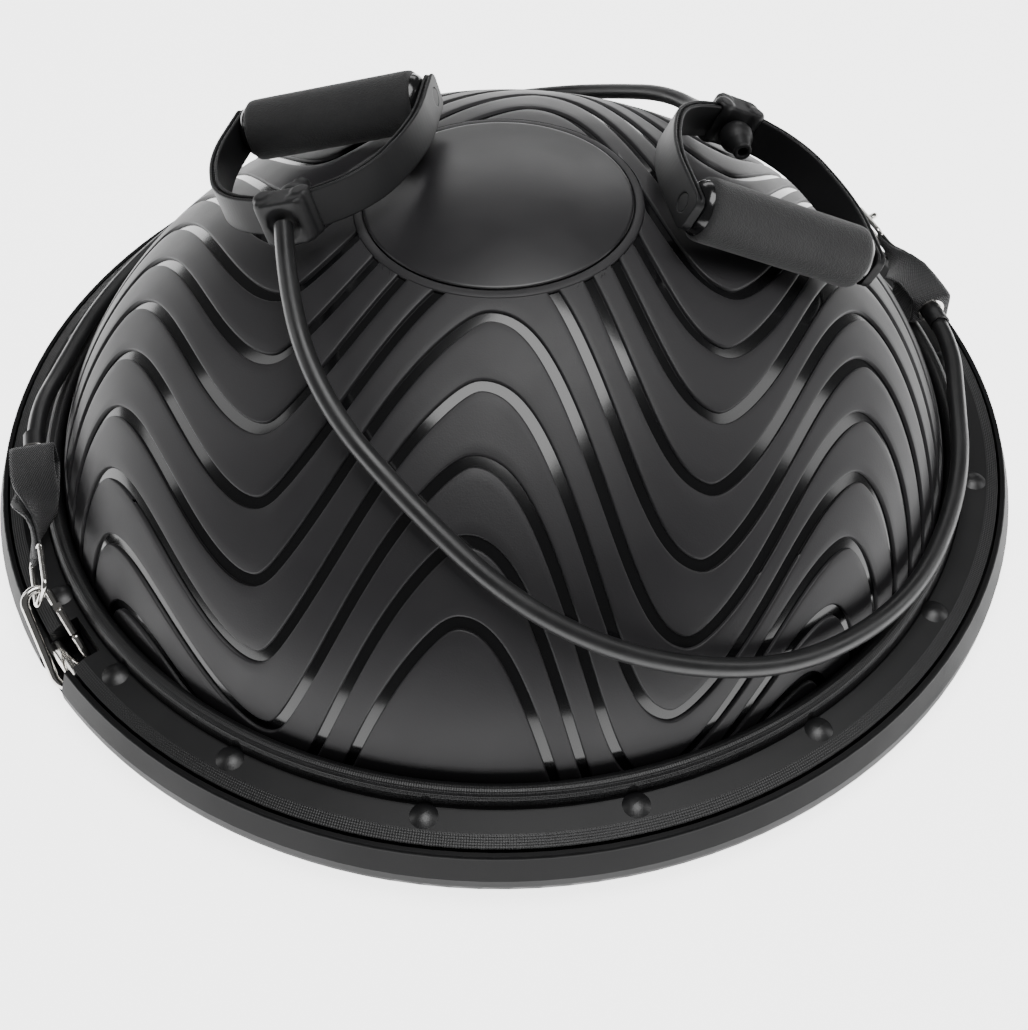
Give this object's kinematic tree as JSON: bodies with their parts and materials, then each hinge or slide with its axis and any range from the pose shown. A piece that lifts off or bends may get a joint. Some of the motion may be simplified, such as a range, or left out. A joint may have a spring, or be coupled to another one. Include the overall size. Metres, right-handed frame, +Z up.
{
  "type": "balance dome trainer",
  "caption": "Inflated half-ball clamped to a round base, with elastic tubes clipped to its rim and foam hand grips, for balance and strength exercise.",
  "frame": {"origin": "centre of the feet, on the floor", "axes": "+Z up through the crown of the dome; +Y away from the side with the low front tube; +X to the right seen from there"},
  "size_m": [0.6, 0.6, 0.226],
  "materials": {
    "tray_plastic": "satin moulded polypropylene",
    "ring_plastic": "moulded plastic with a fine diamond texture",
    "screw_steel": "zinc plated steel",
    "cap_plastic": "moulded plastic",
    "dome_rubber": "matte pads divided by glossy channels",
    "valve_rubber": "soft moulded rubber",
    "foot_rubber": "ribbed rubber",
    "clip_metal": "bright nickel plate",
    "webbing": "woven nylon webbing",
    "ferrule_rubber": "smooth rubber",
    "tube_rubber": "smooth satin latex tube",
    "knuckle_rubber": "satin moulded plastic",
    "strap_rubber": "satin moulded band",
    "foam": "fine closed-cell foam",
    "grip_plastic": "glossy moulded plastic"
  },
  "bodies": {
    "base": {"base_tray": "tray_plastic", "clamp_ring": "ring_plastic", "clamp_screws": "screw_steel", "screw_caps": "cap_plastic", "dome_bladder": "dome_rubber", "valve_seat": "valve_rubber", "rubber_feet": "foot_rubber", "left_anchor_pin": "clip_metal", "left_webbing_tab": "webbing", "left_eyelet": "clip_metal", "left_tube_sleeve": "ferrule_rubber", "left_tube_plug": "ferrule_rubber", "right_anchor_pin": "clip_metal", "right_webbing_tab": "webbing", "right_eyelet": "clip_metal", "right_tube_sleeve": "ferrule_rubber", "right_tube_plug": "ferrule_rubber", "front_tube": "tube_rubber", "rear_tube": "tube_rubber"},
    "valve_plug": {"air_plug": "valve_rubber"},
    "left_hook": {"left_snap_hook": "clip_metal", "left_gate_pin": "clip_metal"},
    "left_gate": {"left_hook_gate": "clip_metal"},
    "left_link": {"left_link_ring": "clip_metal"},
    "left_handle": {"left_knuckle": "knuckle_rubber", "left_strap": "strap_rubber", "left_ball_stopper": "knuckle_rubber", "left_grip_rod": "screw_steel"},
    "left_grip": {"left_grip_core": "grip_plastic", "left_foam_grip": "foam", "left_end_caps": "grip_plastic"},
    "right_hook": {"right_snap_hook": "clip_metal", "right_gate_pin": "clip_metal"},
    "right_gate": {"right_hook_gate": "clip_metal"},
    "right_link": {"right_link_ring": "clip_metal"},
    "right_handle": {"right_knuckle": "knuckle_rubber", "right_strap": "strap_rubber", "right_ball_stopper": "knuckle_rubber", "right_grip_rod": "screw_steel"},
    "right_grip": {"right_grip_core": "grip_plastic", "right_foam_grip": "foam", "right_end_caps": "grip_plastic"}
  },
  "joints": [
    {"name": "valve_plug_slide", "type": "slide", "parent": "base", "child": "valve_plug", "axis": [0.4199, 0.7897, 0.4472], "range_m": [0, 0.02]},
    {"name": "left_hook_swing", "type": "hinge", "parent": "base", "child": "left_hook", "pos_m": [-0.23023, -0.17472, 0.0196], "axis": [0.5962, -0.8028, 0], "range_deg": [-1.5, 1.5]},
    {"name": "left_gate_hinge", "type": "hinge", "parent": "left_hook", "child": "left_gate", "pos_m": [-0.23547, -0.15486, 0.04078], "axis": [-0.4431, 0.5966, -0.6691], "range_deg": [0, 20], "stiffness_Nm_per_rad": 0.02, "springref_deg": -11.46},
    {"name": "left_link_swing", "type": "hinge", "parent": "base", "child": "left_link", "pos_m": [-0.2513, -0.12622, 0.053], "axis": [0.4172, 0.0874, 0.9046], "range_deg": [-1.5, 1.5]},
    {"name": "left_handle_lift", "type": "hinge", "parent": "base", "child": "left_handle", "pos_m": [-0.10979, -0.03882, 0.20472], "axis": [0.9519, -0.1338, 0.2756], "range_deg": [0, 25]},
    {"name": "left_grip_spin", "type": "hinge", "parent": "left_handle", "child": "left_grip", "pos_m": [-0.09143, 0.07228, 0.19525], "axis": [0.9519, -0.1338, 0.2756], "continuous": true},
    {"name": "right_hook_swing", "type": "hinge", "parent": "base", "child": "right_hook", "pos_m": [0.23023, 0.17472, 0.0196], "axis": [-0.5962, 0.8028, 0], "range_deg": [-1.5, 1.5]},
    {"name": "right_gate_hinge", "type": "hinge", "parent": "right_hook", "child": "right_gate", "pos_m": [0.23547, 0.15486, 0.04078], "axis": [0.4431, -0.5966, -0.6691], "range_deg": [0, 20], "stiffness_Nm_per_rad": 0.02, "springref_deg": -11.46},
    {"name": "right_link_swing", "type": "hinge", "parent": "base", "child": "right_link", "pos_m": [0.2513, 0.12622, 0.053], "axis": [-0.4172, -0.0874, 0.9046], "range_deg": [-1.5, 1.5]},
    {"name": "right_handle_lift", "type": "hinge", "parent": "base", "child": "right_handle", "pos_m": [0.13295, 0.09, 0.17933], "axis": [-0.8859, -0.1151, 0.4493], "range_deg": [0, 25]},
    {"name": "right_grip_spin", "type": "hinge", "parent": "right_handle", "child": "right_grip", "pos_m": [0.14785, -0.02201, 0.18004], "axis": [-0.8859, -0.1151, 0.4493], "continuous": true}
  ]
}
